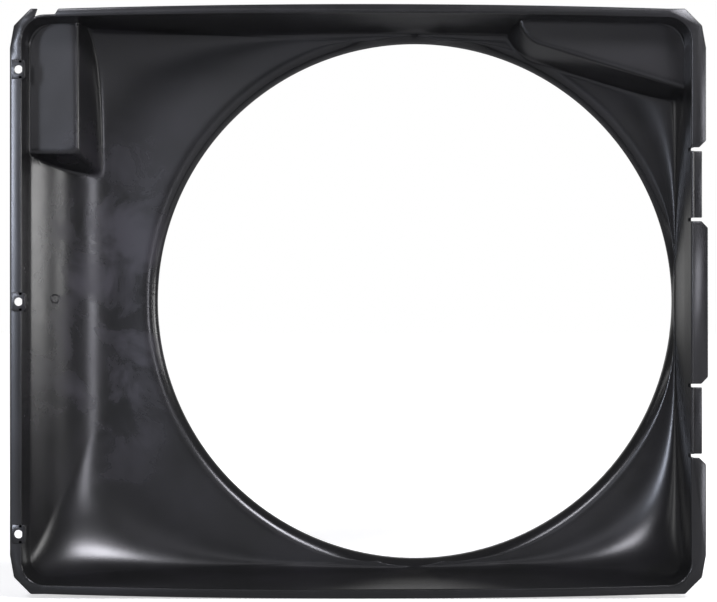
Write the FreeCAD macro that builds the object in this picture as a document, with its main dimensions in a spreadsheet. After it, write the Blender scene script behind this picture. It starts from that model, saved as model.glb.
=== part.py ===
import FreeCAD, Part
import Sketcher
import os
import re

# Radiator fan shroud: a deep rectangular tray with its open side to the radiator, whose
# floor flows into one large round fan opening. The whole shroud is a single injection
# moulding with one wall thickness. It is modelled complete, as an outer form less an inner
# form, and then divided along its own edges into the regions that do different jobs.
#
# X runs right and Z up as seen from the radiator, and Y runs from the radiator to the fan.
# The origin is on the fan axis, half way along the straight bore of the collar.

os.makedirs("parts", exist_ok=True)
doc = FreeCAD.newDocument("fan_shroud")

SIZES = [
    ("wall", 2.8, "thickness of the moulding everywhere"),
    ("fan_radius", 254.0, "straight bore of the collar round the fan"),
    ("collar_length", 9.0, "length of that straight bore"),
    ("bell_radius", 12.0, "rounded mouth between floor and bore"),
    ("floor_depth", 97.0, "radiator face to floor of the tray"),
    ("shoulder_depth", 39.0, "radiator face to foot of the steep wall"),
    ("rim_left", 374.1, "fan axis to inner rim of the tray, left"),
    ("rim_right", 259.1, "fan axis to inner rim, right"),
    ("rim_top", 268.4, "fan axis to inner rim, top, at the corners"),
    ("rim_bottom", 268.4, "fan axis to inner rim, bottom, at the corners"),
    ("bow", 4.4, "how far the long edges arch outwards at mid length"),
    ("rim_radius", 22.0, "inner corner of the rim"),
    ("draft_angle", 3.0, "taper of the steep wall, degrees"),
    ("cove_reach", 0.47, "share of the way from wall foot to bore that the cove takes"),
    ("cove_back", 0.5, "sideways growth of the cove's back, as a share of the wall"),
    ("left_width", 8.5, "left flange, from the back of the wall outwards"),
    ("top_width", 5.3, "top flange, at the corners"),
    ("bottom_width", 6.0, "bottom flange, at the corners"),
    ("right_width", 11.1, "upper and lower right flanges"),
    ("middle_width", 13.3, "middle right tab"),
    ("tongue_width", 7.9, "the two tongues"),
    ("corner_chamfer", 16.0, "chamfer at each corner of the flange"),
    ("corner_slant_in", 3.8, "how far the side edge leans in before the chamfer"),
    ("corner_slant_run", 21.0, "length of that lean"),
    ("notch_inset", 13.6, "left rim to the gap in the top flange"),
    ("notch_length", 16.2, "that gap"),
    ("notch_slant", 4.7, "lean of the gap's right end"),
    ("latch_centre", -1.4, "height of the middle of the row of tabs and tongues"),
    ("middle_tab_length", 153.9, "middle right tab between its two slots"),
    ("tongue_length", 63.0, "each tongue between its two slots"),
    ("slot_width", 3.4, "slot between a tab and a tongue"),
    ("slot_depth", 18.0, "how deep each slot cuts down the right wall"),
    ("tab_chamfer", 6.4, "chamfer of a tab beside a slot"),
    ("tongue_set", 4.5, "radiator face to front of the tongues"),
    ("screw_offset", 3.1, "left rim to the line of screw holes, outwards"),
    ("screw_centre", -0.7, "height of the middle screw hole"),
    ("screw_pitch", 219.8, "distance from one screw hole to the next"),
    ("screw_radius", 4.0, "screw hole"),
    ("screw_clearance", 0.2, "room between a screw and the wall beside it"),
    ("pad_strip", 2.0, "flange left outside each pad"),
    ("pad_height", 18.4, "sunk pad round each screw hole"),
    ("pad_sink", 0.8, "depth of that pad below the flange face"),
    ("pad_bulge", 3.2, "how far the wall swells inwards beside a pad"),
    ("pad_depth", 16.0, "how far down the wall that swelling runs"),
    ("step_depth", 38.0, "radiator face to the flat faces of the two corner pockets"),
    ("left_pocket_width", 49.3, "left rim to inner side of the upper left pocket"),
    ("left_pocket_height", 127.3, "top rim to lower side of the upper left pocket"),
    ("left_pocket_radius", 7.0, "its free corner"),
    ("left_pocket_draft", 17.0, "taper of its sides, degrees"),
    ("right_pocket_length", 161.1, "right rim to left end of the upper right pocket"),
    ("right_pocket_drop", 15.8, "top rim to its lower edge at that end"),
    ("right_pocket_slope", 17.1, "fall of its lower edge, degrees"),
    ("right_pocket_radius", 20.0, "its rounded left end"),
    ("right_pocket_draft", 14.0, "taper of its sides, degrees"),
    ("pocket_clearance", 1.0, "room between the bore and the side of a pocket"),
]

sheet = doc.addObject("Spreadsheet::Sheet", "sizes")
for row, (alias, number, meaning) in enumerate(SIZES, start=1):
    sheet.set(f"A{row}", alias)
    sheet.set(f"B{row}", str(number))
    sheet.set(f"C{row}", meaning)
    sheet.setAlias(f"B{row}", alias)
doc.recompute()

WORD = re.compile(r"\b(" + "|".join(alias for alias, _, _ in SIZES) + r")\b")
DEPTH_OF_ORIGIN = "(floor_depth + bell_radius + collar_length / 2)"
SHROUD_DEPTH = "(floor_depth + bell_radius + collar_length)"
MARGIN = 40  # how far a cutting shape runs past what it cuts

# places worked out from those sizes, measured from the fan axis
PLACES = {
    "left_edge": "(rim_left + wall + left_width)",
    "top_edge": "(rim_top + wall + top_width)",
    "bottom_edge": "(rim_bottom + wall + bottom_width)",
    "right_edge": "(rim_right + wall + right_width)",
    "middle_edge": "(rim_right + wall + middle_width)",
    "tongue_edge": "(rim_right + wall + tongue_width)",
    "notch_left": "(rim_left - notch_inset)",
    "notch_right": "(rim_left - notch_inset - notch_length)",
    "screw_line": "(rim_left + screw_offset)",
    "left_pocket_side": "(rim_left - left_pocket_width)",
    "left_pocket_foot": "(rim_top - left_pocket_height)",
    "right_pocket_end": "(rim_right - right_pocket_length)",
    "right_pocket_start": "(rim_top - right_pocket_drop)",
}
PLACE = re.compile(r"\b(" + "|".join(PLACES) + r")\b")


def formula(text):
    """The expression with each place worked out and each size read from the sheet."""
    return WORD.sub(r"sizes.\1", PLACE.sub(lambda found: PLACES[found.group(1)], str(text)))


def number(text):
    """What the expression comes to now."""
    return float(sheet.evalExpression(formula(text).replace("sizes.", "")))


def bind(item, path, text):
    item.setExpression(path, formula(text))


def place_at_depth(item, depth):
    """Turns an item drawn in X and Y upright, at a depth behind the radiator face."""
    turned = FreeCAD.Rotation(FreeCAD.Vector(1, 0, 0), 90)
    item.Placement = FreeCAD.Placement(FreeCAD.Vector(0, number(f"{depth} - {DEPTH_OF_ORIGIN}"), 0), turned)
    bind(item, "Placement.Base.y", f"{depth} - {DEPTH_OF_ORIGIN}")


def fix_point(sketch, edge, end, x, z):
    """Holds one end of an edge at a place given by two expressions."""
    for axis, text in (("DistanceX", x), ("DistanceY", z)):
        index = sketch.addConstraint(Sketcher.Constraint(axis, -1, 1, edge, end, number(text)))
        bind(sketch, f"Constraints[{index}]", text)


def outline(sketch, points, radii=None):
    """Draws a closed outline. radii gives, for each edge, an expression for an arc or None."""
    radii = radii or [None] * len(points)
    places = [FreeCAD.Vector(number(x), number(z), 0) for x, z in points]
    for index, start in enumerate(places):
        end = places[(index + 1) % len(places)]
        if radii[index] is None:
            sketch.addGeometry(Part.LineSegment(start, end))
            continue
        radius = number(radii[index])
        chord = end - start
        side = FreeCAD.Vector(-chord.y, chord.x, 0).normalize()
        rise = radius - (radius**2 - (chord.Length / 2) ** 2) ** 0.5
        sketch.addGeometry(Part.Arc(start, (start + end) / 2 + side * rise, end))
    for index in range(len(places)):
        clockwise = radii[index] is not None
        following = (index + 1) % len(places)
        end = 1 if clockwise else 2
        start = 2 if radii[following] is not None else 1
        sketch.addConstraint(Sketcher.Constraint("Coincident", index, end, following, start))
    for index, (x, z) in enumerate(points):
        fix_point(sketch, index, 2 if radii[index] is not None else 1, x, z)
    for index, radius in enumerate(radii):
        if radius is not None:
            place = sketch.addConstraint(Sketcher.Constraint("Radius", index, number(radius)))
            bind(sketch, f"Constraints[{place}]", radius)


def loose_sketch(name, depth):
    sketch = doc.addObject("Sketcher::SketchObject", name)
    place_at_depth(sketch, depth)
    return sketch


def tray_section(name, depth, left, right, top, bottom, radius):
    """A rounded rectangle whose top and bottom edges arch outwards."""
    points = [
        (f"-({left}) + {radius}", top),
        (f"{right} - ({radius})", top),
        (right, f"{top} - ({radius})"),
        (right, f"-({bottom}) + {radius}"),
        (f"{right} - ({radius})", f"-({bottom})"),
        (f"-({left}) + {radius}", f"-({bottom})"),
        (f"-({left})", f"-({bottom}) + {radius}"),
        (f"-({left})", f"{top} - ({radius})"),
    ]
    arch = f"((({left}) + ({right}) - 2 * ({radius}))^2 / 4 + bow^2) / (2 * bow)"
    sketch = loose_sketch(name, depth)
    outline(sketch, points, [arch, radius, None, radius, arch, radius, None, radius])
    return sketch


def loft(name, sections):
    item = doc.addObject("Part::Loft", name)
    item.Sections = sections
    item.Solid = True
    item.Ruled = True
    return item


def join(name, *items):
    item = doc.addObject("Part::MultiFuse", name)
    item.Shapes = list(items)
    return item


def cut(name, base, tool):
    item = doc.addObject("Part::Cut", name)
    item.Base, item.Tool = base, tool
    return item


def common(name, base, tool):
    item = doc.addObject("Part::Common", name)
    item.Base, item.Tool = base, tool
    return item


def block(name, x, z, depth, size_x, size_z, size_depth):
    """A box from its lowest corner, with every size an expression."""
    item = doc.addObject("Part::Box", name)
    for path, text in (("Length", size_x), ("Width", size_depth), ("Height", size_z)):
        bind(item, path, text)
    bind(item, "Placement.Base.x", x)
    bind(item, "Placement.Base.y", f"{depth} - {DEPTH_OF_ORIGIN}")
    bind(item, "Placement.Base.z", z)
    return item


def prism(name, points, depth, thickness, radii=None):
    """A flat shape of even thickness, drawn at a depth and grown towards the fan."""
    body = doc.addObject("PartDesign::Body", name)
    sketch = body.newObject("Sketcher::SketchObject", name + "_outline")
    plane = next(f for f in body.Origin.OriginFeatures if f.Role == "XZ_Plane")
    sketch.AttachmentSupport = [(plane, "")]
    sketch.MapMode = "FlatFace"
    outline(sketch, points, radii)
    pad = body.newObject("PartDesign::Pad", name + "_pad")
    pad.Profile = sketch
    pad.Reversed = True
    bind(pad, "Length", thickness)
    body.Tip = pad
    bind(body, "Placement.Base.y", f"{depth} - {DEPTH_OF_ORIGIN}")
    return body


# --- the two forms of the tray ------------------------------------------------------------
# The steep wall runs from the rim to its foot. From there a cove falls in an S to the floor,
# so that each section is a rounded rectangle part of the way to the circle of the bore.

FOOT_IN = "(shoulder_depth * tan(draft_angle))"
SIDES = ("left", "right", "top", "bottom")
COVE_BANDS = 8  # flat bands that make up the S of the cove
MOUTH_BANDS = 4  # conical bands that make up the rounded mouth


def wall_section(name, depth, inward, growth):
    """A section of the steep wall, moved in by its taper and out by its thickness."""
    sides = [f"rim_{side} - {inward} + {growth}" for side in SIDES]
    return tray_section(name, depth, *sides, f"(rim_radius + {growth})")


def cove_section(name, depth, step, growths):
    """A section of the cove, step of the way from the wall foot to the edge of the floor."""
    sides = []
    for side, growth in zip(SIDES, growths):
        foot = f"(rim_{side} - {FOOT_IN})"
        sides.append(f"{foot} - ({foot} - fan_radius) * cove_reach * {step} + {growth}")
    radius = f"(rim_radius + (fan_radius - rim_radius) * cove_reach * {step} + {growths[0]})"
    return tray_section(name, depth, *sides, radius)


def cove(name, growth, back):
    """The cove, grown by the wall on its back."""
    sections = []
    for index in range(COVE_BANDS + 1):
        step = round(index / COVE_BANDS, 4)
        fall = step * step * (3 - 2 * step)
        depth = f"shoulder_depth + {back} + (floor_depth - shoulder_depth) * {fall:.4f}"
        left = f"{growth} * cove_back" if index else growth
        growths = (left, growth, growth, growth)
        sections.append(cove_section(f"{name}_{index}", depth, step, growths))
    return loft(name, sections)


def below_floor(name, section, length):
    """The outline of the floor carried straight on towards the fan."""
    item = doc.addObject("Part::Extrusion", name)
    item.Base = section
    item.DirMode = "Custom"
    item.Dir = FreeCAD.Vector(0, 1, 0)
    item.Solid = True
    bind(item, "LengthFwd", length)
    return item


def bell(name, growth, end):
    """Everything inside the rounded mouth and the bore, grown by the wall on its back."""
    body = doc.addObject("PartDesign::Body", name)
    sketch = body.newObject("Sketcher::SketchObject", name + "_profile")
    plane = next(f for f in body.Origin.OriginFeatures if f.Role == "XY_Plane")
    sketch.AttachmentSupport = [(plane, "")]
    sketch.MapMode = "FlatFace"
    points = [("0", end), (f"fan_radius + {growth}", end)]
    for index in range(MOUTH_BANDS + 1):
        turn = 90 * index / MOUTH_BANDS
        points.append(
            (
                f"fan_radius + bell_radius - (bell_radius - {growth}) * cos({turn})",
                f"-collar_length / 2 - (bell_radius - {growth}) * sin({turn})",
            )
        )
    points.append(("0", points[-1][1]))
    outline(sketch, points)
    turned = body.newObject("PartDesign::Revolution", name + "_turned")
    turned.Profile = sketch
    turned.ReferenceAxis = (sketch, ["V_Axis"])
    turned.Angle = 360
    body.Tip = turned
    return body


def tray_form(name, growth, back, bore_end):
    """Wall, cove, floor and bore in one solid. growth and back are 0 for the hollow."""
    rim = wall_section(f"{name}_rim", "0", "0", growth)
    foot = wall_section(f"{name}_foot", f"shoulder_depth + {back}", FOOT_IN, growth)
    steep = loft(f"{name}_wall", [rim, foot])
    fall = cove(f"{name}_cove", growth, back)
    straight = below_floor(f"{name}_skirt", fall.Sections[-1], f"2 * {MARGIN}")
    mouth = common(f"{name}_mouth", straight, bell(f"{name}_bell", growth, bore_end))
    return join(name, steep, fall, mouth)


hollow = tray_form("hollow", "0", "0", f"collar_length / 2 + {MARGIN}")
back = tray_form("back", "wall", "wall", "collar_length / 2")


# --- corner pockets -----------------------------------------------------------------------
# Two upper corners step forward to clear what stands behind them. Each step is a flat face
# with tapered sides; its back is open, because the same wall just follows the step.

def left_pocket_section(name, depth, growth):
    side = f"-(left_pocket_side - ({growth}))"
    foot = f"left_pocket_foot - ({growth})"
    points = [
        (side, f"rim_top + {MARGIN}"),
        (side, f"{foot} + left_pocket_radius"),
        (f"{side} - left_pocket_radius", foot),
        (f"-rim_left - {MARGIN}", foot),
        (f"-rim_left - {MARGIN}", f"rim_top + {MARGIN}"),
    ]
    sketch = loose_sketch(name, depth)
    outline(sketch, points, [None, "left_pocket_radius", None, None, None])
    return sketch


def right_pocket_section(name, depth, growth):
    """Its lower edge falls to the right, and its left end is round."""
    slope = "right_pocket_slope"
    end = f"(right_pocket_end - ({growth}))"
    start = f"(right_pocket_start - ({growth}) * (1 / cos({slope}) - tan({slope})))"
    run = f"(right_pocket_radius / tan(45 + {slope} / 2))"
    far = f"(rim_right + {MARGIN})"
    points = [
        (end, f"{start} + {run}"),
        (end, f"rim_top + {MARGIN}"),
        (far, f"rim_top + {MARGIN}"),
        (far, f"{start} - ({far} - {end}) * tan({slope})"),
        (f"{end} + {run} * cos({slope})", f"{start} - {run} * sin({slope})"),
    ]
    sketch = loose_sketch(name, depth)
    outline(sketch, points, [None, None, None, None, "right_pocket_radius"])
    return sketch


def pocket_form(name, section, draft, back, growth):
    """A pocket from its flat face to past the collar. back and growth are 0 for its front."""
    start = f"step_depth + {back}"
    end = f"{SHROUD_DEPTH} + {MARGIN}"
    face = section(f"{name}_face", start, growth)
    foot = section(f"{name}_end", end, f"{growth} + ({end} - ({start})) * tan({draft})")
    return loft(name, [face, foot])


def fan_circle(name, radius, start="0"):
    """A cylinder on the fan axis that keeps a pocket clear of the bore or of its wall."""
    item = doc.addObject("Part::Cylinder", name)
    item.Placement = FreeCAD.Placement(FreeCAD.Vector(), FreeCAD.Rotation(FreeCAD.Vector(1, 0, 0), -90))
    bind(item, "Radius", radius)
    bind(item, "Height", f"{SHROUD_DEPTH} + 2 * {MARGIN}")
    bind(item, "Placement.Base.y", f"{start} - {DEPTH_OF_ORIGIN}")
    return item


def pocket_back(name, section, draft):
    shrink = f"-wall / cos({draft}) + wall * tan({draft})"
    return pocket_form(name, section, draft, "wall", shrink)


BORE_ROOM = "(fan_radius + pocket_clearance)"
POCKETS = [
    ("left_pocket", left_pocket_section, "left_pocket_draft"),
    ("right_pocket", right_pocket_section, "right_pocket_draft"),
]
pockets = []
backs = []
for name, section, draft in POCKETS:
    form = pocket_form(f"{name}_form", section, draft, "0", "0")
    pockets.append(cut(f"{name}_front", form, fan_circle(f"{name}_bore", BORE_ROOM)))
    form = pocket_back(f"{name}_back", section, draft)
    backs.append(cut(f"{name}_hollow", form, fan_circle(f"{name}_ring", f"{BORE_ROOM} + wall")))
shell = cut(
    "shell",
    cut("outside", back, join("pocket_backs", *backs)),
    cut("inside", hollow, join("pocket_forms", *pockets)),
)


# --- slots, screw bosses and the flange plates --------------------------------------------

TAB_END = "(middle_tab_length / 2)"
TONGUE_START = f"({TAB_END} + slot_width)"
TONGUE_END = f"({TONGUE_START} + tongue_length)"
FLANGE_START = f"({TONGUE_END} + slot_width)"
CORNER_X = ("-(rim_left - rim_radius)", "(rim_right - rim_radius)")

slots = []
for name, low in (
    ("slot_upper_outer", f"latch_centre + {TONGUE_END}"),
    ("slot_upper_inner", f"latch_centre + {TAB_END}"),
    ("slot_lower_inner", f"latch_centre - {TONGUE_START}"),
    ("slot_lower_outer", f"latch_centre - {FLANGE_START}"),
):
    slots.append(block(name, "rim_right - 2 * wall", low, "-1", f"{MARGIN}", "slot_width", "slot_depth + 1"))

BOSS_FACE = "(rim_left - pad_bulge)"


def boss_block(name, middle, depth):
    """A block over one pad, from the outer strip to the face of the bulge, down to its foot."""
    outer = "left_edge - pad_strip"
    low = f"{middle} - pad_height / 2"
    return block(name, f"-({outer})", low, depth, f"{outer} - {BOSS_FACE}", "pad_height", f"pad_depth - ({depth})")


boss_blocks = []
boss_spaces = []
boss_reliefs = []
for index, step in enumerate((-1, 0, 1), start=1):
    middle = f"screw_centre + {step} * screw_pitch"
    boss_blocks.append(boss_block(f"boss_block_{index}", middle, "pad_sink"))
    boss_spaces.append(boss_block(f"boss_space_{index}", middle, "-1"))
    boss_reliefs.append(
        block(
            f"boss_relief_{index}",
            f"-left_edge - {MARGIN}",
            f"{middle} - pad_height / 2 + wall",
            "wall",
            f"left_edge + {MARGIN} - (screw_line - screw_radius - screw_clearance)",
            "pad_height - 2 * wall",
            "pad_depth - 2 * wall",
        )
    )
    hole = doc.addObject("Part::Cylinder", f"screw_hole_{index}")
    bind(hole, "Radius", "screw_radius")
    bind(hole, "Height", "2 * wall + 2")
    hole.Placement = FreeCAD.Placement(FreeCAD.Vector(), FreeCAD.Rotation(FreeCAD.Vector(1, 0, 0), -90))
    bind(hole, "Placement.Base.x", "-screw_line")
    bind(hole, "Placement.Base.y", f"-1 - {DEPTH_OF_ORIGIN}")
    bind(hole, "Placement.Base.z", middle)
    boss_reliefs.append(hole)
boss_zone = join("boss_zone", *boss_blocks)
boss_space = join("boss_space", *boss_spaces)


def flange(name, points, depth="0", arch=None):
    """A plate round the rim, trimmed to the back of the steep wall. arch bows one edge."""
    radii = [None] * len(points)
    if arch is not None:
        run = f"(({points[arch + 1][0]}) - ({points[arch][0]}))"
        radii[arch] = f"({run}^2 / 4 + bow^2) / (2 * bow)"
    plate = prism(f"{name}_plate", points, depth, "wall", radii)
    return cut(f"{name}_trimmed", plate, back.Shapes[0])


def mirrored(points):
    """The same outline with top and bottom exchanged, in the opposite order."""
    flipped = []
    for x, z in reversed(points):
        flipped.append((x, f"-({z})".replace("top_edge", "bottom_edge")))
    return flipped


left_corner = [
    ("-(left_edge - corner_slant_in - corner_chamfer)", "-bottom_edge"),
    ("-(left_edge - corner_slant_in)", "-(bottom_edge - corner_chamfer)"),
    ("-left_edge", "-(bottom_edge - corner_chamfer - corner_slant_run)"),
]
screw_flange = flange(
    "screw_flange",
    [(CORNER_X[0], "-bottom_edge")]
    + left_corner
    + [(x, z[1:].replace("bottom_edge", "top_edge")) for x, z in reversed(left_corner)]
    + [
        ("-notch_left + wall / 2", "top_edge"),
        ("-notch_left - wall / 2", "rim_top + wall / 2"),
        ("-notch_left - wall / 2", "rim_top - rim_radius"),
        (CORNER_X[0], "rim_top - rim_radius"),
    ],
)
top_flange = flange(
    "top_flange",
    [
        ("-(notch_right - notch_slant)", "top_edge"),
        (CORNER_X[1], "top_edge"),
        (CORNER_X[1], "rim_top - rim_radius"),
        ("-notch_right", "rim_top - rim_radius"),
        ("-notch_right", "rim_top + wall"),
    ],
    arch=0,
)
bottom_flange = flange(
    "bottom_flange",
    [
        (CORNER_X[1], "-bottom_edge"),
        (CORNER_X[0], "-bottom_edge"),
        (CORNER_X[0], "-(rim_bottom - rim_radius)"),
        (CORNER_X[1], "-(rim_bottom - rim_radius)"),
    ],
    arch=0,
)
right_corner = [
    (CORNER_X[1], "top_edge"),
    ("right_edge - corner_slant_in - corner_chamfer", "top_edge"),
    ("right_edge - corner_slant_in", "top_edge - corner_chamfer"),
    ("right_edge", "top_edge - corner_chamfer - corner_slant_run"),
]
upper_right_flange = flange(
    "upper_right_flange",
    right_corner
    + [
        ("right_edge", f"latch_centre + {FLANGE_START} + tab_chamfer"),
        ("right_edge - tab_chamfer", f"latch_centre + {FLANGE_START}"),
        (CORNER_X[1], f"latch_centre + {FLANGE_START}"),
    ],
)
lower_right_flange = flange(
    "lower_right_flange",
    [
        (CORNER_X[1], f"latch_centre - {FLANGE_START}"),
        ("right_edge - tab_chamfer", f"latch_centre - {FLANGE_START}"),
        ("right_edge", f"latch_centre - {FLANGE_START} - tab_chamfer"),
    ]
    + mirrored(right_corner),
)
middle_right_tab = flange(
    "middle_right_tab",
    [
        (CORNER_X[1], f"latch_centre + {TAB_END}"),
        ("middle_edge - tab_chamfer", f"latch_centre + {TAB_END}"),
        ("middle_edge", f"latch_centre + {TAB_END} - tab_chamfer"),
        ("middle_edge", f"latch_centre - {TAB_END} + tab_chamfer"),
        ("middle_edge - tab_chamfer", f"latch_centre - {TAB_END}"),
        (CORNER_X[1], f"latch_centre - {TAB_END}"),
    ],
)
tongues = []
for name, low, high in (
    ("upper_tongue", f"latch_centre + {TONGUE_START}", f"latch_centre + {TONGUE_END}"),
    ("lower_tongue", f"latch_centre - {TONGUE_END}", f"latch_centre - {TONGUE_START}"),
):
    points = [
        (CORNER_X[1], high),
        ("tongue_edge", high),
        ("tongue_edge", low),
        (CORNER_X[1], low),
    ]
    tongues.append(flange(name, points, "tongue_set"))


# --- the regions --------------------------------------------------------------------------

AXIS = ("0", "0")
CORNERS = [
    ("-1.3 * rim_left", "1.3 * rim_top"),
    ("1.3 * rim_right", "1.3 * rim_top"),
    ("1.3 * rim_right", "-1.3 * rim_bottom"),
    ("-1.3 * rim_left", "-1.3 * rim_bottom"),
]
SECTORS = ("top", "right", "bottom", "left")
POCKET_SIDE = ("1.3 * right_pocket_end", "1.3 * rim_top")

slotted = cut("slotted", shell, join("slots", *slots))
bare = cut("bare", slotted, boss_space)
collar_ring = fan_circle("collar_ring", f"{BORE_ROOM} + wall", "floor_depth")
pocket_zone = cut("pocket_zone", join("pocket_fronts", *pockets), collar_ring)
rest = cut("rest", bare, pocket_zone)
wall_zone = block(
    "wall_zone",
    f"-rim_left - {MARGIN}",
    f"-rim_bottom - {MARGIN}",
    "-1",
    f"rim_left + rim_right + 2 * {MARGIN}",
    f"rim_top + rim_bottom + 2 * {MARGIN}",
    "shoulder_depth + 1",
)
walls = common("walls", rest, wall_zone)
collar_zone = doc.addObject("Part::Cylinder", "collar_zone")
collar_zone.Placement = FreeCAD.Placement(FreeCAD.Vector(), FreeCAD.Rotation(FreeCAD.Vector(1, 0, 0), -90))
bind(collar_zone, "Radius", "fan_radius + bell_radius")
bind(collar_zone, "Height", f"bell_radius + collar_length + {MARGIN}")
bind(collar_zone, "Placement.Base.y", f"floor_depth - {DEPTH_OF_ORIGIN}")
funnel = cut("funnel", rest, join("walls_and_collar", wall_zone, collar_zone))

boss_bodies = cut("boss_bodies", boss_zone, join("boss_reliefs", *boss_reliefs))
behind_flange = join("behind_flange", screw_flange.Base, back.Shapes[0])

nodes = {
    "screw_flange": cut("screw_flange", screw_flange, boss_space),
    "screw_bosses": common("screw_bosses", boss_bodies, behind_flange),
    "top_flange": top_flange,
    "bottom_flange": bottom_flange,
    "upper_right_flange": upper_right_flange,
    "middle_right_tab": middle_right_tab,
    "lower_right_flange": lower_right_flange,
    "upper_tongue": tongues[0],
    "lower_tongue": tongues[1],
    "fan_collar": common("fan_collar", rest, collar_zone),
    "upper_left_pocket": common("upper_left_pocket", bare, pockets[0]),
    "upper_right_pocket": common("upper_right_pocket", bare, cut("right_zone", pockets[1], collar_ring)),
}
for index, side in enumerate(SECTORS):
    start, end = CORNERS[index], CORNERS[(index + 1) % 4]
    wall_sector = prism(f"{side}_wall_sector", [AXIS, start, end], "-1", f"{SHROUD_DEPTH} + 2")
    nodes[f"{side}_wall"] = common(f"{side}_wall", walls, wall_sector)
    points = [AXIS, start, end]
    if side == "top":
        points = [AXIS, start, POCKET_SIDE]
    if side == "right":
        points = [AXIS, POCKET_SIDE, start, end]
    funnel_sector = prism(f"{side}_funnel_sector", points, "-1", f"{SHROUD_DEPTH} + 2")
    nodes[f"{side}_funnel"] = common(f"{side}_funnel", funnel, funnel_sector)

doc.recompute()
for item in doc.Objects:
    if "Invalid" in item.State or "Error" in item.State:
        raise RuntimeError(f"{item.Name} failed: {item.State}")
for name, item in nodes.items():
    shape = item.Shape
    if shape.isNull() or not shape.isValid() or not shape.Solids:
        raise RuntimeError(f"{name} has no sound shape")
    item.Label = name
    shape.exportStep(f"parts/{name}.step")
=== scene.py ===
from math import cos, pi, radians, sin, tan

import bmesh
import bpy
import numpy as np
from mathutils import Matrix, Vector


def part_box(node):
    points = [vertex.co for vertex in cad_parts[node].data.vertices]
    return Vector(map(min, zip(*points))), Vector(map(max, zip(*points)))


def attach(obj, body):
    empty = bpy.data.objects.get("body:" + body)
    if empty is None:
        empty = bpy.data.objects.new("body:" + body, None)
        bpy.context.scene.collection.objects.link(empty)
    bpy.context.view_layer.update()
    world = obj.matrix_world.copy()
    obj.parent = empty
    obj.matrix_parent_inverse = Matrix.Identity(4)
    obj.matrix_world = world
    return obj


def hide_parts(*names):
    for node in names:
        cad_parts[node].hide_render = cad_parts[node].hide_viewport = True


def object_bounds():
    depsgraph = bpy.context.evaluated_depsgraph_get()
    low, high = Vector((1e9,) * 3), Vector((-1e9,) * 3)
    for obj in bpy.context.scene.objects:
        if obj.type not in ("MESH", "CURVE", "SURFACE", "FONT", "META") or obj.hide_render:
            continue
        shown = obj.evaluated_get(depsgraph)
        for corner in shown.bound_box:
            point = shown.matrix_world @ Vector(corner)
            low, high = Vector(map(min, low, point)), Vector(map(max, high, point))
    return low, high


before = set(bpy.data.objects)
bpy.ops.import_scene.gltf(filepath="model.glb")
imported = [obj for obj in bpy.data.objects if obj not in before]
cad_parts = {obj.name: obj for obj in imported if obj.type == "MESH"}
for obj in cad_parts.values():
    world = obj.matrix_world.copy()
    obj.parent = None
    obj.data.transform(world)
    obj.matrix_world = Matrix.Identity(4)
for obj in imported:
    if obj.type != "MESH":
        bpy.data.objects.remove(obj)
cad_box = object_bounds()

# --- tray shell ----------------------------------------------------------------------------
# The tray, its cove, the floor, two corner pockets and the collar round the fan are one even
# skin of injection moulded polypropylene. Its front face is drawn column by column, from rim
# to collar, and the back is that face moved by the wall's thickness.

# Lengths are millimetres until a mesh is made.
MM = 0.001
WALL = 2.8
RADIATOR_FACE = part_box("screw_flange")[0].y / MM
BOW = 4.4
RIM_LEFT = -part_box("left_wall")[0].x / MM - WALL
RIM_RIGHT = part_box("right_wall")[1].x / MM - WALL
RIM_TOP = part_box("top_wall")[1].z / MM - WALL - BOW
RIM_BOTTOM = -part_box("bottom_wall")[0].z / MM - WALL - BOW
RIM_SIDES = (RIM_LEFT, RIM_RIGHT, RIM_TOP, RIM_BOTTOM)
RIM_RADIUS = 22
RIM_ROUND = WALL / 2
DRAFT = tan(radians(3))
SHOULDER = 39
FLOOR = 97
FAN_RADIUS = 254
MOUTH_RADIUS = 12
COVE_REACH = 0.9
SHROUD_DEPTH = (cad_box[1].y - cad_box[0].y) / MM
LIP_ROUND = 0.8
CORNER_SOFT = 5

# How finely the skin is divided: sections down each stretch, points down a column while its
# corners are rounded, and the rows of faces that are kept on the front and on the back.
WALL_SECTIONS = 60
COVE_SECTIONS = 140
FLOOR_SECTIONS = 100
MOUTH_SECTIONS = 40
COLLAR_SECTIONS = 12
SAMPLES = 520
ROWS = 80
BACK_ROWS = 34
RIM_ROWS = 8


def spread(*stretches):
    """Places from 0 to 1 along one side of the tray, closer together where a pocket's edge runs."""
    return np.concatenate([
        np.linspace(start, end, count, endpoint=False) for start, end, count in stretches
    ])


TOP_SIDE = spread((0, 0.10, 30), (0.10, 0.66, 55), (0.66, 1, 100))
TOP_RIGHT_CORNER = spread((0, 1, 90))
RIGHT_SIDE = spread((0, 0.2, 50), (0.2, 1, 66))
BOTTOM_RIGHT_CORNER = spread((0, 1, 32))
BOTTOM_SIDE = spread((0, 1, 80))
BOTTOM_LEFT_CORNER = spread((0, 1, 40))
LEFT_SIDE = spread((0, 0.68, 60), (0.68, 1, 80))
TOP_LEFT_CORNER = spread((0, 1, 90))
STRETCHES = (
    TOP_SIDE, TOP_RIGHT_CORNER, RIGHT_SIDE, BOTTOM_RIGHT_CORNER,
    BOTTOM_SIDE, BOTTOM_LEFT_CORNER, LEFT_SIDE, TOP_LEFT_CORNER,
)


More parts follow.
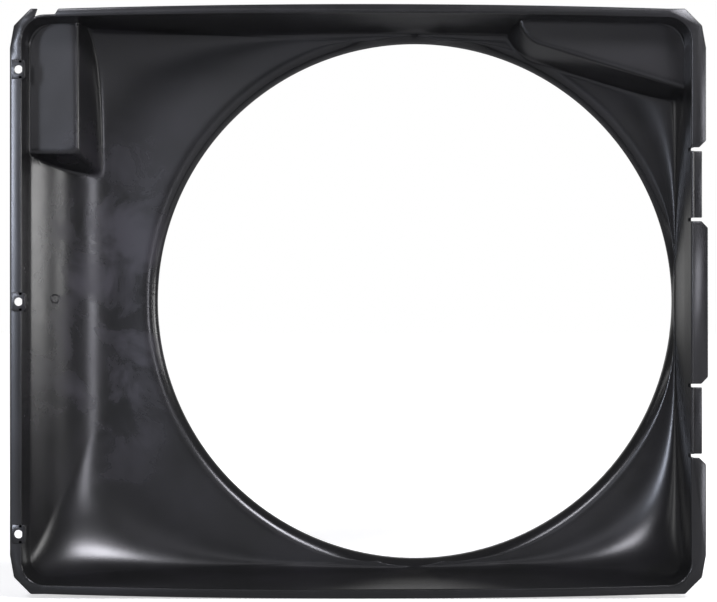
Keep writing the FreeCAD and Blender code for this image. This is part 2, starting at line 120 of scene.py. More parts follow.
def ring(left, right, top, bottom, radius):
    """X and Z of one section of the tray, clockwise from its top left: long sides arch outwards."""
    across = left + right - 2 * radius
    up = top + bottom - 2 * radius
    sides = [(-left + radius + across * TOP_SIDE, top + BOW * (1 - (2 * TOP_SIDE - 1) ** 2))]
    turn = TOP_RIGHT_CORNER * pi / 2
    sides.append((right - radius + radius * np.sin(turn), top - radius + radius * np.cos(turn)))
    sides.append((right + 0 * RIGHT_SIDE, top - radius - up * RIGHT_SIDE))
    turn = BOTTOM_RIGHT_CORNER * pi / 2
    sides.append((right - radius + radius * np.cos(turn), -bottom + radius - radius * np.sin(turn)))
    low = -bottom - BOW * (1 - (2 * BOTTOM_SIDE - 1) ** 2)
    sides.append((right - radius - across * BOTTOM_SIDE, low))
    turn = BOTTOM_LEFT_CORNER * pi / 2
    sides.append((-left + radius - radius * np.sin(turn), -bottom + radius - radius * np.cos(turn)))
    sides.append((-left + 0 * LEFT_SIDE, -bottom + radius + up * LEFT_SIDE))
    turn = TOP_LEFT_CORNER * pi / 2
    sides.append((-left + radius - radius * np.cos(turn), top - radius + radius * np.sin(turn)))
    return np.concatenate([np.stack(side, axis=1) for side in sides])


def at_depth(section, depth):
    """Section points as X, depth behind the radiator face, Z."""
    return np.stack([section[:, 0], np.broadcast_to(depth, len(section)), section[:, 1]], axis=1)


def tray_stations():
    """The tray's front face as sections from rim to collar, before its corners are rounded."""
    stations = []
    for depth in np.linspace(RIM_ROUND, SHOULDER, WALL_SECTIONS):
        sides = [side - depth * DRAFT for side in RIM_SIDES]
        stations.append(at_depth(ring(*sides, RIM_RADIUS), depth))

    # The cove: steep at the foot of the wall, and flat by the time it reaches the floor.
    for step in np.linspace(0, 1, COVE_SECTIONS)[1:]:
        sides = []
        for side in RIM_SIDES:
            foot = side - SHOULDER * DRAFT
            sides.append(foot - (foot - FAN_RADIUS) * COVE_REACH * step)
        radius = RIM_RADIUS + (FAN_RADIUS - RIM_RADIUS) * COVE_REACH * step
        depth = SHOULDER + (FLOOR - SHOULDER) * (1 - (1 - step) ** 3)
        stations.append(at_depth(ring(*sides, radius), depth))

    # The floor: straight in towards the fan's axis, as far as the rounded mouth.
    edge = stations[-1]
    reach = np.hypot(edge[:, 0], edge[:, 2])
    away = edge[:, [0, 2]] / reach[:, None]
    mouth = np.minimum(reach, FAN_RADIUS + MOUTH_RADIUS)
    start = np.arcsin((FAN_RADIUS + MOUTH_RADIUS - mouth) / MOUTH_RADIUS)
    mouth_depth = FLOOR + MOUTH_RADIUS * (1 - np.cos(start))
    for part in np.linspace(0, 1, FLOOR_SECTIONS)[1:]:
        radius = reach + (mouth - reach) * part
        stations.append(at_depth(away * radius[:, None], FLOOR + (mouth_depth - FLOOR) * part))

    # The mouth and the straight collar.
    for part in np.linspace(0, 1, MOUTH_SECTIONS)[1:]:
        turn = start + (pi / 2 - start) * part
        radius = FAN_RADIUS + MOUTH_RADIUS * (1 - np.sin(turn))
        stations.append(at_depth(away * radius[:, None], FLOOR + MOUTH_RADIUS * (1 - np.cos(turn))))
    for depth in np.linspace(FLOOR + MOUTH_RADIUS, SHROUD_DEPTH - LIP_ROUND, COLLAR_SECTIONS)[1:]:
        stations.append(at_depth(away * FAN_RADIUS, depth))
    return np.stack(stations, axis=1)


def along(path):
    """Length along each point of a path."""
    steps = np.linalg.norm(np.diff(path, axis=0), axis=1)
    return np.concatenate([[0], np.cumsum(steps)])


def softened(columns, reach):
    """Rounds every corner of each column over a length of about twice the reach."""
    result = np.empty((len(columns), SAMPLES, 3))
    for index, path in enumerate(columns):
        length = along(path)
        even = np.linspace(0, length[-1], SAMPLES)
        path = np.stack([np.interp(even, length, path[:, axis]) for axis in range(3)], axis=1)
        count = int(round(reach / even[1]))
        weights = np.bartlett(2 * count + 3)[1:-1]
        weights /= weights.sum()
        extra = np.arange(1, count + 1)[:, None]
        before = path[0] - extra[::-1] * (path[1] - path[0])
        after = path[-1] + extra * (path[-1] - path[-2])
        padded = np.concatenate([before, path, after])
        for axis in range(3):
            result[index, :, axis] = np.convolve(padded[:, axis], weights, "valid")
    return result


# The two corner pockets step forward to clear what stands behind the shroud. Their faces are
# flat, their free edges are rounded, and their sides lean out so that the mould lets go.
STEP = 38
STEP_EDGE = 3.5
STEP_FOOT = 7
STEP_FOOT_FADE = 20
STEP_SOFT = 3
LEFT_STEP_WIDTH = 49.3
LEFT_STEP_HEIGHT = 127.3
LEFT_STEP_SIDE = RIM_LEFT - LEFT_STEP_WIDTH
LEFT_STEP_END = RIM_TOP - LEFT_STEP_HEIGHT
LEFT_STEP_RADIUS = 8
LEFT_STEP_LEAN = radians(17)
RIGHT_STEP_LENGTH = 161.1
RIGHT_STEP_DROP = 15.8
RIGHT_STEP_END = RIM_RIGHT - RIGHT_STEP_LENGTH
RIGHT_STEP_START = RIM_TOP - RIGHT_STEP_DROP
RIGHT_STEP_SLOPE = radians(17.1)
RIGHT_STEP_RADIUS = 20
RIGHT_STEP_LEAN = radians(10.5)


def beyond(first, second, radius):
    """Distance outside a rounded corner of two edges, from the distance outside each."""
    first = first + radius
    second = second + radius
    outside = np.hypot(np.maximum(first, 0), np.maximum(second, 0))
    return outside + np.minimum(np.maximum(first, second), 0) - radius


def mitred(first, second, radius):
    """Distance outside two edges whose sides meet in a rounded corner of one size all the way down."""
    near = np.maximum(radius - np.abs(first - second), 0) / radius
    return np.maximum(first, second) + near**2 * radius / 4


def step_side(distance, lean):
    """Depth of a pocket's side at a distance outside its edge."""
    turned = pi / 2 - lean
    run = distance + STEP_EDGE * tan(turned / 2)
    bend = np.clip(run, 0, STEP_EDGE * sin(turned))
    rounded = STEP_EDGE - np.sqrt(STEP_EDGE**2 - bend**2)
    return STEP + np.where(run > STEP_EDGE * sin(turned), distance / tan(lean), rounded)


def pockets(x, z, thickness):
    """Depth of the nearer pocket at each place, on its front or a wall's thickness behind it."""
    left = mitred(x + LEFT_STEP_SIDE, LEFT_STEP_END - z, LEFT_STEP_RADIUS)
    fall = RIGHT_STEP_START - (x - RIGHT_STEP_END) * tan(RIGHT_STEP_SLOPE) - z
    right = beyond(RIGHT_STEP_END - x, fall * cos(RIGHT_STEP_SLOPE), RIGHT_STEP_RADIUS)
    left_side = step_side(left + thickness, LEFT_STEP_LEAN)
    right_side = step_side(right + thickness, RIGHT_STEP_LEAN)
    return np.maximum(np.minimum(left_side, right_side), STEP + thickness)


def stepped(columns, thickness):
    """Lifts a face of the tray to the pockets, with a fillet where a side meets the floor."""
    depth = columns[..., 1]
    pocket = pockets(columns[..., 0], columns[..., 2], thickness)
    fillet = STEP_FOOT * np.clip((depth - STEP) / STEP_FOOT_FADE, 0.001, 1)
    near = np.maximum(fillet - np.abs(depth - pocket), 0) / fillet
    result = columns.copy()
    result[..., 1] = np.minimum(depth, pocket) - near**2 * fillet / 4
    return result


def rows_of(columns, count):
    """Picks rows down each column, closer together where the face bends."""
    depth_share = 0.45
    length_for_a_bend = 6
    result = np.empty((len(columns), count, 3))
    for index, path in enumerate(columns):
        steps = np.diff(path, axis=0)
        length = np.sqrt(steps[:, 0] ** 2 + (depth_share * steps[:, 1]) ** 2 + steps[:, 2] ** 2)
        unit = steps / np.linalg.norm(steps, axis=1)[:, None]
        bend = np.arccos(np.clip((unit[1:] * unit[:-1]).sum(axis=1), -1, 1))
        measure = length + length_for_a_bend * np.concatenate([[0], bend])
        measure = np.concatenate([[0], np.cumsum(measure)])
        even = np.linspace(0, measure[-1], count)
        picked = [np.interp(even, measure, path[:, axis]) for axis in range(3)]
        result[index] = np.stack(picked, axis=1)
    return result


def mesh_piece(name, points, faces):
    """A mesh object from points given as X, depth and Z in millimetres."""
    places = np.array(points, float)
    places[:, 1] += RADIATOR_FACE
    mesh = bpy.data.meshes.new(name)
    mesh.from_pydata((places * MM).tolist(), [], faces)
    form = bmesh.new()
    form.from_mesh(mesh)
    bmesh.ops.recalc_face_normals(form, faces=form.faces)
    form.to_mesh(mesh)
    form.free()
    piece = bpy.data.objects.new(name, mesh)
    bpy.context.scene.collection.objects.link(piece)
    return piece


def outward(columns):
    """Unit normals of a grid of columns, pointing away from the open side of the tray."""
    around = np.roll(columns, -1, axis=0) - np.roll(columns, 1, axis=0)
    normal = np.cross(around, np.gradient(columns, axis=1))
    normal /= np.linalg.norm(normal, axis=2)[..., None]
    return normal * np.sign((normal[0, 0] * columns[0, 0])[[0, 2]].sum())


# The collar's lip turns over the wall in four steps: how far out, and how far short of the end.
LIP = ((0.25, 0.55), (0.8, 0.8), (2.0, 0.8), (2.55, 0.55))


def shell_mesh():
    """The whole skin: down the front, round the lip, up the back and round the rim."""
    tray = softened(tray_stations(), CORNER_SOFT)
    front = rows_of(softened(stepped(tray, 0), STEP_SOFT), ROWS)
    behind = stepped(tray + outward(tray) * WALL, WALL)
    back = rows_of(softened(behind, STEP_SOFT), BACK_ROWS)
    normal = outward(front)
    rim_out = normal[:, 0] * [1, 0, 1]
    rim_out /= np.linalg.norm(rim_out, axis=1)[:, None]
    toward = np.array([0, -1, 0])
    rows = [front[:, index] for index in range(ROWS)]
    lip_out = front[:, -1] * [1, 0, 1] / FAN_RADIUS
    for inset, short in LIP:
        rows.append(front[:, -1] + lip_out * inset - toward * short)
    rows += [back[:, index] for index in range(BACK_ROWS - 1, -1, -1)]
    for turn in np.linspace(pi, 0, RIM_ROWS)[1:-1]:
        middle = front[:, 0] + rim_out * RIM_ROUND
        rows.append(middle - rim_out * RIM_ROUND * cos(turn) + toward * RIM_ROUND * sin(turn))
    count = len(front)
    points = np.concatenate(rows)
    faces = []
    for row in range(len(rows)):
        below = (row + 1) % len(rows)
        for column in range(count):
            beside = (column + 1) % count
            faces.append((
                row * count + column,
                row * count + beside,
                below * count + beside,
                below * count + column,
            ))
    return mesh_piece("tray_shell", points, faces)


shell = shell_mesh()


def closed_faces(count):
    """Faces of a closed form whose points are two outlines, one after the other."""
    faces = [tuple(range(count)), tuple(range(2 * count - 1, count - 1, -1))]
    for index in range(count):
        beside = (index + 1) % count
        faces.append((beside, index, count + index, count + beside))
    return faces


def settle(piece):
    """Applies the modifiers of a piece to its mesh."""
    bpy.context.view_layer.update()
    shape = bpy.data.meshes.new_from_object(piece.evaluated_get(bpy.context.evaluated_depsgraph_get()))
    piece.modifiers.clear()
    old = piece.data
    piece.data = shape
    bpy.data.meshes.remove(old)


def prism(name, outline, start, end, soften=0.0):
    """A flat shape between two depths, its edges softened by a small bevel."""
    points = [(x, start, z) for x, z in outline] + [(x, end, z) for x, z in outline]
    piece = mesh_piece(name, points, closed_faces(len(outline)))
    if soften:
        bevel = piece.modifiers.new("edges", "BEVEL")
        bevel.width = soften * MM
        bevel.segments = 3
        bevel.limit_method = "ANGLE"
        bevel.angle_limit = radians(30)
        settle(piece)
    return piece


def carve(piece, cutters):
    """Cuts shapes out of a piece and removes the shapes."""
    for cutter in cutters:
        change = piece.modifiers.new("cut", "BOOLEAN")
        change.operation = "DIFFERENCE"
        change.solver = "MANIFOLD"
        change.object = cutter
        settle(piece)
        bpy.data.objects.remove(cutter)


def rectangle(left, right, bottom, top):
    """Corners of an upright rectangle, as X and Z."""
    return [(left, bottom), (left, top), (right, top), (right, bottom)]


# Four slots part the tabs from the tongues and run down into the right wall, where each ends
# in a half round that keeps the plastic from tearing when a tongue is pressed.
LATCH = -1.4
TAB_HALF = 153.9 / 2
TONGUE = 63
SLOT = 3.4
SLOT_DEPTH = 18
SLOT_END_POINTS = 13
SLOT_FRONT = -3
SLOT_INNER = RIM_RIGHT - 9
SLOT_OUTER = RIM_RIGHT + 30
SLOT_LOWS = (
    LATCH + TAB_HALF,
    LATCH + TAB_HALF + SLOT + TONGUE,
    LATCH - TAB_HALF - SLOT,
    LATCH - TAB_HALF - 2 * SLOT - TONGUE,
)


def slot_cutter(low):
    """The space of one slot, from the height of its lower side."""
    end = [
        (low + SLOT / 2 - SLOT / 2 * cos(turn), SLOT_DEPTH - SLOT / 2 + SLOT / 2 * sin(turn))
        for turn in np.linspace(0, pi, SLOT_END_POINTS)
    ]
    section = [(low, SLOT_FRONT), *end, (low + SLOT, SLOT_FRONT)]
    points = []
    for x in (SLOT_INNER, SLOT_OUTER):
        points += [(x, depth, z) for z, depth in section]
    return mesh_piece("slot_cutter", points, closed_faces(len(section)))


carve(shell, [slot_cutter(low) for low in SLOT_LOWS])

# Beside each screw hole the wall is left open for a boss, and its rim is sunk for the pad.
LEFT_EDGE = -cad_box[0].x / MM
SCREW_CENTRE = -0.7
SCREW_PITCH = 219.8
SCREW_HEIGHTS = [SCREW_CENTRE + (index - 2) * SCREW_PITCH for index in (1, 2, 3)]
SCREW_OFFSET = 3.1
SCREW_RADIUS = 4
SCREW_ROOM = 0.2
PAD_HALF = 9.2
PAD_SINK = 0.8
PAD_DEPTH = 24
PAD_STRIP = 2
PAD_OUTER = -(LEFT_EDGE - PAD_STRIP)
BOSS_SWELL = 3.2
BOSS_FACE = -(RIM_LEFT - BOSS_SWELL)
BOSS_HOLLOW = -(RIM_LEFT + SCREW_OFFSET - SCREW_RADIUS - SCREW_ROOM)
CUT_OUTER = PAD_OUTER - 20
CUT_FRONT = -2
CUT_MARGIN = 1


def pad_zone(height):
    """Outline of what the pad and the boss of one screw hole take out of the rim."""
    return rectangle(PAD_OUTER, BOSS_FACE + CUT_MARGIN, height - PAD_HALF, height + PAD_HALF)


def boss_hollow(height):
    """Outline of the hollow behind one pad, in which the screw stands."""
    return rectangle(CUT_OUTER, BOSS_HOLLOW, height - PAD_HALF + WALL, height + PAD_HALF - WALL)


for height in SCREW_HEIGHTS:
    carve(shell, [
        prism("pad", pad_zone(height), CUT_FRONT, PAD_SINK),
        prism("hollow", boss_hollow(height), CUT_FRONT, PAD_DEPTH - WALL),
    ])

# Injection moulded polypropylene, filled with carbon black. The mould's fine sparked finish
# leaves it half glossy, so it shows broad soft highlights. Flow marks, handling haze and dust
# turn it slightly purple grey. Sizes of the patterns are millimetres.
HAZE = 70
TIDE_MARKS = 48
FLOW_WAVES = 35
# The real grain is about 0.1 mm, which is too fine to show, so it is drawn coarser.
GRAIN = 0.6
RUBBED_SPOT = (-300, -10)
RUBBED_REACH = (95, 230)
PIN_MARK = (-350, 2)
PIN_RADIUS = 3.9
CLEAN_BLACK = "#191919"
WORN_GREY = "#2a282d"


def linear(hex_colour):
    """Linear red, green, blue and alpha from an sRGB hex colour."""
    values = [int(hex_colour[index:index + 2], 16) / 255 for index in (1, 3, 5)]
    return [v / 12.92 if v <= 0.04045 else ((v + 0.055) / 1.055) ** 2.4 for v in values] + [1.0]


def add(tree, kind, settings=None, **inputs):
    """Adds a node with its settings, and its inputs by name, or by number as i0, i1 and so on."""
    item = tree.nodes.new(kind)
    for key, value in (settings or {}).items():
        setattr(item, key, value)
    for key, value in inputs.items():
        by_number = key[0] == "i" and key[1:].isdigit()
        socket = item.inputs[int(key[1:])] if by_number else item.inputs[key.replace("_", " ")]
        if isinstance(value, bpy.types.NodeSocket):
            tree.links.new(value, socket)
        else:
            socket.default_value = value
    return item


SMOOTH = {"interpolation_type": "SMOOTHSTEP"}
COLOURS = {"data_type": "RGBA"}


def flat_distance(tree, place, centre, stretch):
    """Distance from a spot on the front face, seen along the fan's axis, in units of the stretch."""
    scale = [1 / (stretch[0] * MM), 0, 1 / (stretch[1] * MM)]
    moved = add(tree, "ShaderNodeVectorMath", {"operation": "SUBTRACT"},
                i0=place, i1=(centre[0] * MM, 0, centre[1] * MM))
    scaled = add(tree, "ShaderNodeVectorMath", {"operation": "MULTIPLY"}, i0=moved.outputs[0], i1=scale)
    return add(tree, "ShaderNodeVectorMath", {"operation": "LENGTH"}, i0=scaled.outputs[0]).outputs["Value"]


def black_polypropylene():
    """The shroud's plastic, with the wear of an old moulding."""
    material = bpy.data.materials.new("black_moulded_polypropylene")
    material.use_nodes = True
    tree = material.node_tree
    tree.nodes.clear()
    place = add(tree, "ShaderNodeTexCoord").outputs["Object"]

    # Thin haze in soft clouds, everywhere.
    haze = add(tree, "ShaderNodeTexNoise", Vector=place, Scale=1 / (HAZE * MM), Detail=5.0, Roughness=0.6)
    haze = add(tree, "ShaderNodeMapRange", Value=haze.outputs["Fac"], From_Min=0.4, From_Max=0.7).outputs[0]

    # Dried tide marks on the left of the floor, where hands and water have rubbed it.
    tide = add(tree, "ShaderNodeTexNoise", Vector=place, Scale=1 / (TIDE_MARKS * MM), Detail=6.0,
               Roughness=0.6, Distortion=0.5)
    tide = add(tree, "ShaderNodeMapRange", Value=tide.outputs["Fac"], From_Min=0.43, From_Max=0.64).outputs[0]
    rubbed = flat_distance(tree, place, RUBBED_SPOT, RUBBED_REACH)
    rubbed = add(tree, "ShaderNodeMapRange", SMOOTH, Value=rubbed,
                 From_Min=0.35, From_Max=1.0, To_Min=1.0, To_Max=0.0).outputs[0]
    patches = add(tree, "ShaderNodeMath", {"operation": "MULTIPLY"}, i0=tide, i1=rubbed).outputs[0]
    worn = add(tree, "ShaderNodeMath", {"operation": "MULTIPLY_ADD", "use_clamp": True},
               i0=haze, i1=0.25, i2=patches).outputs[0]
    colour = add(tree, "ShaderNodeMix", COLOURS, Factor=worn, i6=linear(CLEAN_BLACK), i7=linear(WORN_GREY))
    gloss = add(tree, "ShaderNodeMapRange", Value=worn, To_Min=0.23, To_Max=0.38)

    # The ring that an ejector pin left, then the flow of the plastic, then the sparked grain.
    pin = flat_distance(tree, place, PIN_MARK, (PIN_RADIUS, PIN_RADIUS))
    pin = add(tree, "ShaderNodeMath", {"operation": "SUBTRACT"}, i0=pin, i1=1.0).outputs[0]
    pin = add(tree, "ShaderNodeMath", {"operation": "ABSOLUTE"}, i0=pin).outputs[0]
    pin = add(tree, "ShaderNodeMapRange", SMOOTH, Value=pin, From_Max=0.18).outputs[0]
    pressed = add(tree, "ShaderNodeBump", Height=pin, Strength=0.8, Distance=0.4 * MM)
    waves = add(tree, "ShaderNodeTexNoise", Vector=place, Scale=1 / (FLOW_WAVES * MM), Detail=1.0)
    flowed = add(tree, "ShaderNodeBump", Height=waves.outputs["Fac"], Strength=0.25, Distance=0.6 * MM,
                 Normal=pressed.outputs["Normal"])
    grain = add(tree, "ShaderNodeTexNoise", Vector=place, Scale=1 / (GRAIN * MM), Detail=2.0)
    sparked = add(tree, "ShaderNodeBump", Height=grain.outputs["Fac"], Strength=0.12, Distance=0.05 * MM,
                  Normal=flowed.outputs["Normal"])
    shader = add(tree, "ShaderNodeBsdfPrincipled", Base_Color=colour.outputs[2],
                 Roughness=gloss.outputs["Result"], IOR=1.49, Normal=sparked.outputs["Normal"])
    add(tree, "ShaderNodeOutputMaterial", Surface=shader.outputs["BSDF"])
    return material


polypropylene = black_polypropylene()


def moulded(piece, *nodes):
    """Finishes a piece in the shroud's plastic and lets it stand for its solids."""
    piece.data.materials.clear()
    piece.data.materials.append(polypropylene)
    piece.data.shade_smooth()
    piece.data.set_sharp_from_angle(angle=radians(32))
    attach(piece, "root")
    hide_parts(*nodes)


moulded(
    shell, "left_wall", "top_wall", "right_wall", "bottom_wall", "left_funnel", "top_funnel",
    "right_funnel", "bottom_funnel", "fan_collar", "upper_left_pocket", "upper_right_pocket",
)

# --- rim flanges ---------------------------------------------------------------------------
# The flange that lies against the radiator is the same skin, turned outwards at the rim. A
# notch at the top left and the slots on the right part it into an upper and a lower length.
# Its left edge leans back a little.

EDGE_SOFT = 0.9
RIM_COVER = 0.25
LEFT_LEAN = radians(6)
TOP_WIDTH = 5.3
BOTTOM_WIDTH = 6.0
RIGHT_WIDTH = 11.1
TOP_EDGE = RIM_TOP + WALL + TOP_WIDTH
BOTTOM_EDGE = RIM_BOTTOM + WALL + BOTTOM_WIDTH
RIGHT_EDGE = RIM_RIGHT + WALL + RIGHT_WIDTH
CHAMFER = 16
LEAN_IN = 3.8
LEAN_RUN = 21
TAB_CHAMFER = 6.4
NOTCH_INSET = 13.6
NOTCH_LENGTH = 16.2
NOTCH_LEFT = -(RIM_LEFT - NOTCH_INSET)
NOTCH_RIGHT = NOTCH_LEFT + NOTCH_LENGTH
NOTCH_LEAN = 4.7
CORNER_LEFT = -(RIM_LEFT - RIM_RADIUS)
CORNER_RIGHT = RIM_RIGHT - RIM_RADIUS
OUTER_SLOT = TAB_HALF + 2 * SLOT + TONGUE
SLOTS_TOP = LATCH + OUTER_SLOT
SLOTS_BOTTOM = LATCH - OUTER_SLOT
INNER_RIGHT = RIM_RIGHT + RIM_COVER
BOW_POINTS = 41
POINT_GAP = 1.8
END_GAP = 1
HAIR = 0.01

inner_ring = ring(*[side + RIM_COVER for side in RIM_SIDES], RIM_RADIUS + RIM_COVER)
starts = np.concatenate([[0], np.cumsum([len(stretch) for stretch in STRETCHES])])


def corner(side_edge, top_edge):
    """The chamfer and the lean of one flange corner, from the side edge to the top edge."""
    return [
        (side_edge, top_edge - CHAMFER - LEAN_RUN),
        (side_edge - LEAN_IN, top_edge - CHAMFER),
        (side_edge - LEAN_IN - CHAMFER, top_edge),
    ]


def bowed(left, right, edge):
    """A long edge that arches outwards between two corners."""
    places = np.linspace(0, 1, BOW_POINTS)
    return [(left + (right - left) * t, edge + BOW * (1 - (2 * t - 1) ** 2)) for t in places]


def inner_line(first, last):
    """The flange's inner edge, over the rim, from one point of the ring to another, thinned out."""
    points = [tuple(point) for point in inner_ring[first:last]]
    kept = [points[0]]
    for point in points[1:]:
        if np.hypot(point[0] - kept[-1][0], point[1] - kept[-1][1]) > POINT_GAP:
            kept.append(point)
    return kept


def lean_back(piece, line, lean):
    """Tilts what lies outside an upright line on the left or right back from the radiator."""
    form = bmesh.new()
    form.from_mesh(piece.data)
    whole = [*form.verts, *form.edges, *form.faces]
    bmesh.ops.bisect_plane(form, geom=whole, plane_co=(line * MM, 0, 0), plane_no=(1, 0, 0))
    for point in form.verts:
        point.co.y += max(point.co.x / line - MM, 0) * abs(line) * tan(lean)
    form.to_mesh(piece.data)
    form.free()


upper = [(NOTCH_RIGHT, RIM_TOP + RIM_COVER), (NOTCH_RIGHT + NOTCH_LEAN, TOP_EDGE)]
upper += bowed(NOTCH_RIGHT + NOTCH_LEAN, CORNER_RIGHT, TOP_EDGE)[1:]
upper += reversed(corner(RIGHT_EDGE, TOP_EDGE))
upper += [(RIGHT_EDGE, SLOTS_TOP + TAB_CHAMFER), (RIGHT_EDGE - TAB_CHAMFER, SLOTS_TOP)]
upper += [(INNER_RIGHT, SLOTS_TOP)]
inner = [
    (x, z) for x, z in inner_line(0, starts[3])
    if not (x > INNER_RIGHT - HAIR and z < SLOTS_TOP + END_GAP)
]
upper += [(x, z) for x, z in reversed(inner) if x > NOTCH_RIGHT + END_GAP]
upper_flange = prism("upper_flange", upper, 0, WALL, EDGE_SOFT)
moulded(upper_flange, "top_flange", "upper_right_flange")

lower = [(NOTCH_LEFT - WALL / 2, RIM_TOP + RIM_COVER), (NOTCH_LEFT + WALL / 2, TOP_EDGE)]
lower += [(-x, z) for x, z in reversed(corner(LEFT_EDGE, TOP_EDGE))]
lower += [(-x, -z) for x, z in corner(LEFT_EDGE, BOTTOM_EDGE)]
lower += [(x, -z) for x, z in bowed(CORNER_LEFT, CORNER_RIGHT, BOTTOM_EDGE)]
lower += [(x, -z) for x, z in reversed(corner(RIGHT_EDGE, BOTTOM_EDGE))]
lower += [(RIGHT_EDGE, SLOTS_BOTTOM - TAB_CHAMFER), (RIGHT_EDGE - TAB_CHAMFER, SLOTS_BOTTOM)]
lower += [(INNER_RIGHT, SLOTS_BOTTOM)]
inner = [
    (x, z) for x, z in inner_line(starts[2], starts[8])
    if not (x > INNER_RIGHT - HAIR and z > SLOTS_BOTTOM - END_GAP)
]
lower += [(x, z) for x, z in inner if not (z > 0 and x > NOTCH_LEFT - WALL / 2 - END_GAP)]
lower_flange = prism("lower_flange", lower[::-1], 0, WALL, EDGE_SOFT)
lean_back(lower_flange, -(RIM_LEFT + RIM_COVER), LEFT_LEAN)
for height in SCREW_HEIGHTS:
    carve(lower_flange, [prism("pad", pad_zone(height), CUT_FRONT, WALL - CUT_FRONT)])
moulded(lower_flange, "screw_flange", "bottom_flange", "lower_right_flange")

# --- middle tab ----------------------------------------------------------------------------
# The wide tab between the tongues is a length of the right flange that reaches a little
# farther out. Cut free by the slots on both sides, it leans back from the radiator.

MIDDLE_EDGE = cad_box[1].x / MM
MIDDLE_LEAN = radians(9)
MIDDLE_ROOT = INNER_RIGHT + 1

tab = [
    (INNER_RIGHT, LATCH - TAB_HALF),
    (INNER_RIGHT, LATCH + TAB_HALF),
    (MIDDLE_EDGE - TAB_CHAMFER, LATCH + TAB_HALF),
    (MIDDLE_EDGE, LATCH + TAB_HALF - TAB_CHAMFER),
    (MIDDLE_EDGE, LATCH - TAB_HALF + TAB_CHAMFER),
    (MIDDLE_EDGE - TAB_CHAMFER, LATCH - TAB_HALF),
]
middle_tab = prism("middle_tab", tab, 0, WALL, EDGE_SOFT)
lean_back(middle_tab, MIDDLE_ROOT, MIDDLE_LEAN)
moulded(middle_tab, "middle_right_tab")

# --- tongues -------------------------------------------------------------------------------
# Two tongues of the same skin stand behind the radiator face and flex when the shroud is
# clipped on. They are plain plates, parted from the tabs by the slots.

TONGUE_WIDTH = 7.9
TONGUE_EDGE = RIM_RIGHT + WALL + TONGUE_WIDTH
TONGUE_SET = 4.5
TONGUES = (
    ("upper_tongue_piece", "upper_tongue", LATCH + TAB_HALF + SLOT),
    ("lower_tongue_piece", "lower_tongue", LATCH - TAB_HALF - SLOT - TONGUE),
)

for name, node, low in TONGUES:
    shape = rectangle(INNER_RIGHT, TONGUE_EDGE, low, low + TONGUE)
    moulded(prism(name, shape, TONGUE_SET, TONGUE_SET + WALL, EDGE_SOFT), node)

# --- screw bosses --------------------------------------------------------------------------
# Each screw hole stands in a pad sunk a little below the flange, and the wall beside it
# swells into the tray to make room for the screw. All three are moulded with the wall.

SCREW_LINE = -(RIM_LEFT + SCREW_OFFSET)
BOSS_ROUND = 3.0
BOSS_ROUND_POINTS = 6
BOSS_SOFT = 0.6
WALL_LAP = 0.6
HOLE_SIDES = 48
HOLE_END = 7
OUTSIDE_HALF = 30
OUTSIDE_END = PAD_DEPTH + 5


def boss(index, height):
    """One boss, with its hole, hollow behind."""
    shape = [(PAD_OUTER, height - PAD_HALF), (PAD_OUTER, height + PAD_HALF)]
    for turn in np.linspace(pi / 2, 0, BOSS_ROUND_POINTS):
        x = BOSS_FACE - BOSS_ROUND * (1 - cos(turn))
        shape.append((x, height + PAD_HALF - BOSS_ROUND * (1 - sin(turn))))
    for turn in np.linspace(0, pi / 2, BOSS_ROUND_POINTS):
        x = BOSS_FACE - BOSS_ROUND * (1 - cos(turn))
        shape.append((x, height - PAD_HALF + BOSS_ROUND * (1 - sin(turn))))
    piece = prism(f"screw_boss_{index}", shape, PAD_SINK, PAD_DEPTH, BOSS_SOFT)
    circle = [
        (SCREW_LINE + SCREW_RADIUS * sin(turn), height + SCREW_RADIUS * cos(turn))
        for turn in np.linspace(0, 2 * pi, HOLE_SIDES, endpoint=False)
    ]
    outside = rectangle(
        CUT_OUTER, -(RIM_LEFT + WALL) + WALL_LAP, height - OUTSIDE_HALF, height + OUTSIDE_HALF
    )
    carve(piece, [
        prism("hole", circle, CUT_FRONT, HOLE_END),
        prism("hollow", boss_hollow(height), WALL, PAD_DEPTH - WALL),
        prism("outside", outside, WALL, OUTSIDE_END),
    ])
    return piece


def joined(name, pieces):
    """One piece made of several that don't touch."""
    form = bmesh.new()
    for piece in pieces:
        form.from_mesh(piece.data)
        bpy.data.objects.remove(piece)
    mesh = bpy.data.meshes.new(name)
    form.to_mesh(mesh)
    form.free()
    whole = bpy.data.objects.new(name, mesh)
    bpy.context.scene.collection.objects.link(whole)
    return whole


bosses = [boss(index, height) for index, height in enumerate(SCREW_HEIGHTS, 1)]
moulded(joined("screw_boss_pads", bosses), "screw_bosses")

# --- studio --------------------------------------------------------------------------------
# The shroud stands upright on white paper before a white ground, lit from above on both
# sides, with boxes at the left and right and a window behind the camera. Lengths here are metres.

FLOOR_HALF = 20
FLOOR_GAP = 0.0002
floor_z = cad_box[0].z - FLOOR_GAP
floor_mesh = bpy.data.meshes.new("floor")
floor_mesh.from_pydata([
    (-FLOOR_HALF, -FLOOR_HALF, floor_z),
    (FLOOR_HALF, -FLOOR_HALF, floor_z),
    (FLOOR_HALF, FLOOR_HALF, floor_z),
    (-FLOOR_HALF, FLOOR_HALF, floor_z),
], [], [(0, 1, 2, 3)])
floor = bpy.data.objects.new("floor", floor_mesh)
bpy.context.scene.collection.objects.link(floor)


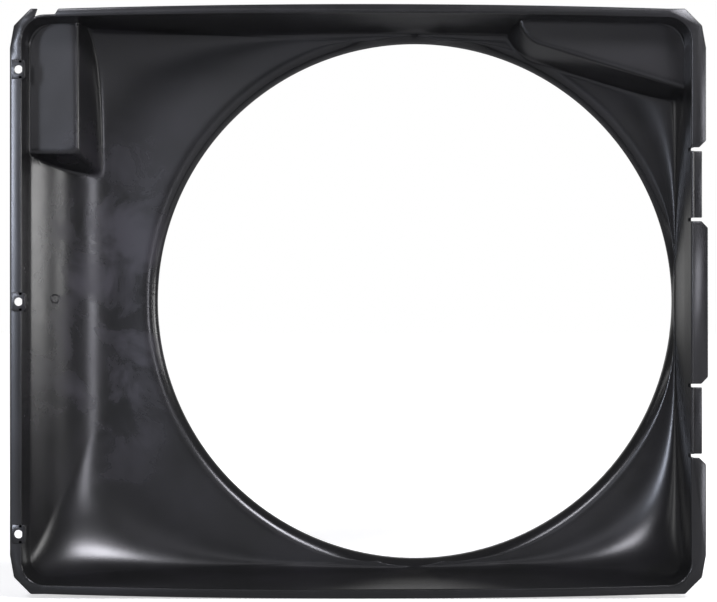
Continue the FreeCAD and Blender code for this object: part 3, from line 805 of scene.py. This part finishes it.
def white_paper():
    """Matt paper that is white to the camera, also far off, and a light grey to the shroud."""
    material = bpy.data.materials.new("white_paper_floor")
    material.use_nodes = True
    tree = material.node_tree
    tree.nodes.clear()
    seen = add(tree, "ShaderNodeLightPath").outputs["Is Camera Ray"]
    shade = add(tree, "ShaderNodeMix", COLOURS, Factor=seen, i6=linear("#b4b4b4"), i7=linear("#f6f6f6"))
    paper = add(tree, "ShaderNodeBsdfDiffuse", Color=shade.outputs[2])
    place = add(tree, "ShaderNodeTexCoord").outputs["Object"]
    far = add(tree, "ShaderNodeVectorMath", {"operation": "LENGTH"}, i0=place).outputs["Value"]
    far = add(tree, "ShaderNodeMapRange", SMOOTH, Value=far,
              From_Min=0.5, From_Max=1.6, To_Min=0.55, To_Max=1.0).outputs[0]
    far = add(tree, "ShaderNodeMath", {"operation": "MULTIPLY"}, i0=far, i1=seen)
    glow = add(tree, "ShaderNodeEmission", Strength=far.outputs[0], Color=(1, 1, 1, 1))
    both = add(tree, "ShaderNodeAddShader", i0=paper.outputs[0], i1=glow.outputs[0])
    add(tree, "ShaderNodeOutputMaterial", Surface=both.outputs[0])
    return material


floor_mesh.materials.append(white_paper())

# The ground is white to the camera. What the shroud reflects of it is dim, and brighter
# straight behind.
world = bpy.data.worlds.new("studio")
bpy.context.scene.world = world
world.use_nodes = True
sky_tree = world.node_tree
sky_tree.nodes.clear()
direction = add(sky_tree, "ShaderNodeTexCoord").outputs["Generated"]
parts = add(sky_tree, "ShaderNodeSeparateXYZ", Vector=direction)
behind = add(sky_tree, "ShaderNodeMapRange", SMOOTH, Value=parts.outputs["Y"],
             From_Min=0.9, From_Max=0.985, To_Min=0.08, To_Max=0.4)
seen = add(sky_tree, "ShaderNodeLightPath").outputs["Is Camera Ray"]
lit = add(sky_tree, "ShaderNodeMath", {"operation": "MAXIMUM"}, i0=seen, i1=behind.outputs["Result"])
sky = add(sky_tree, "ShaderNodeBackground", Color=(1, 1, 1, 1), Strength=lit.outputs[0])
add(sky_tree, "ShaderNodeOutputWorld", Surface=sky.outputs[0])


def softbox(name, place, target, width, height, power, colour):
    """A flat rectangular lamp that faces its target."""
    lamp = bpy.data.lights.new(name, "AREA")
    lamp.color = linear(colour)[:3]
    lamp.shape = "RECTANGLE"
    lamp.size = width
    lamp.size_y = height
    lamp.energy = power
    item = bpy.data.objects.new(name, lamp)
    item.location = place
    item.rotation_euler = (Vector(target) - Vector(place)).to_track_quat("-Z", "Y").to_euler()
    bpy.context.scene.collection.objects.link(item)


softbox("upper_right", (0.95, -1.8, 1.35), (0, 0, -0.1), 0.8, 0.5, 46, "#f6f6ff")
softbox("upper_left", (-0.95, -1.8, 1.35), (0, 0, -0.1), 0.6, 0.45, 20, "#f6f6ff")
softbox("left_box", (-1.7, 0.0, 0.1), (0, 0.0, 0.1), 1.0, 1.2, 8, "#ffffff")
softbox("right_box", (1.7, 0.1, 0.18), (0, 0.1, 0.15), 1.4, 0.45, 16, "#ffffff")
softbox("window", (-1.47, -3.2, 0.36), (-0.38, 0, 0.1), 0.3, 0.5, 30, "#e6edff")
softbox("right_window", (1.8, -3.1, 0.0), (0.28, 0, 0), 0.5, 0.9, 18, "#f4f4ff")
softbox("left_fill", (-0.66, -3.3, 0.45), (-0.3, 0, 0.2), 0.4, 0.35, 0.6, "#f2f2ff")
softbox("front_fill", (-0.1, -3.3, 0.6), (0, 0, 0), 1.6, 0.35, 2.2, "#f6f6ff")

CAMERA_SIDE = -0.0556
CAMERA_DISTANCE = 2.5
camera_data = bpy.data.cameras.new("camera")
camera_data.sensor_width = 36
camera_data.lens = 132.8
camera = bpy.data.objects.new("camera", camera_data)
camera.location = (CAMERA_SIDE, RADIATOR_FACE * MM - CAMERA_DISTANCE, 0)
camera.rotation_euler = (pi / 2, 0, 0)
bpy.context.scene.collection.objects.link(camera)
bpy.context.scene.camera = camera
bpy.context.scene.view_settings.view_transform = "Standard"
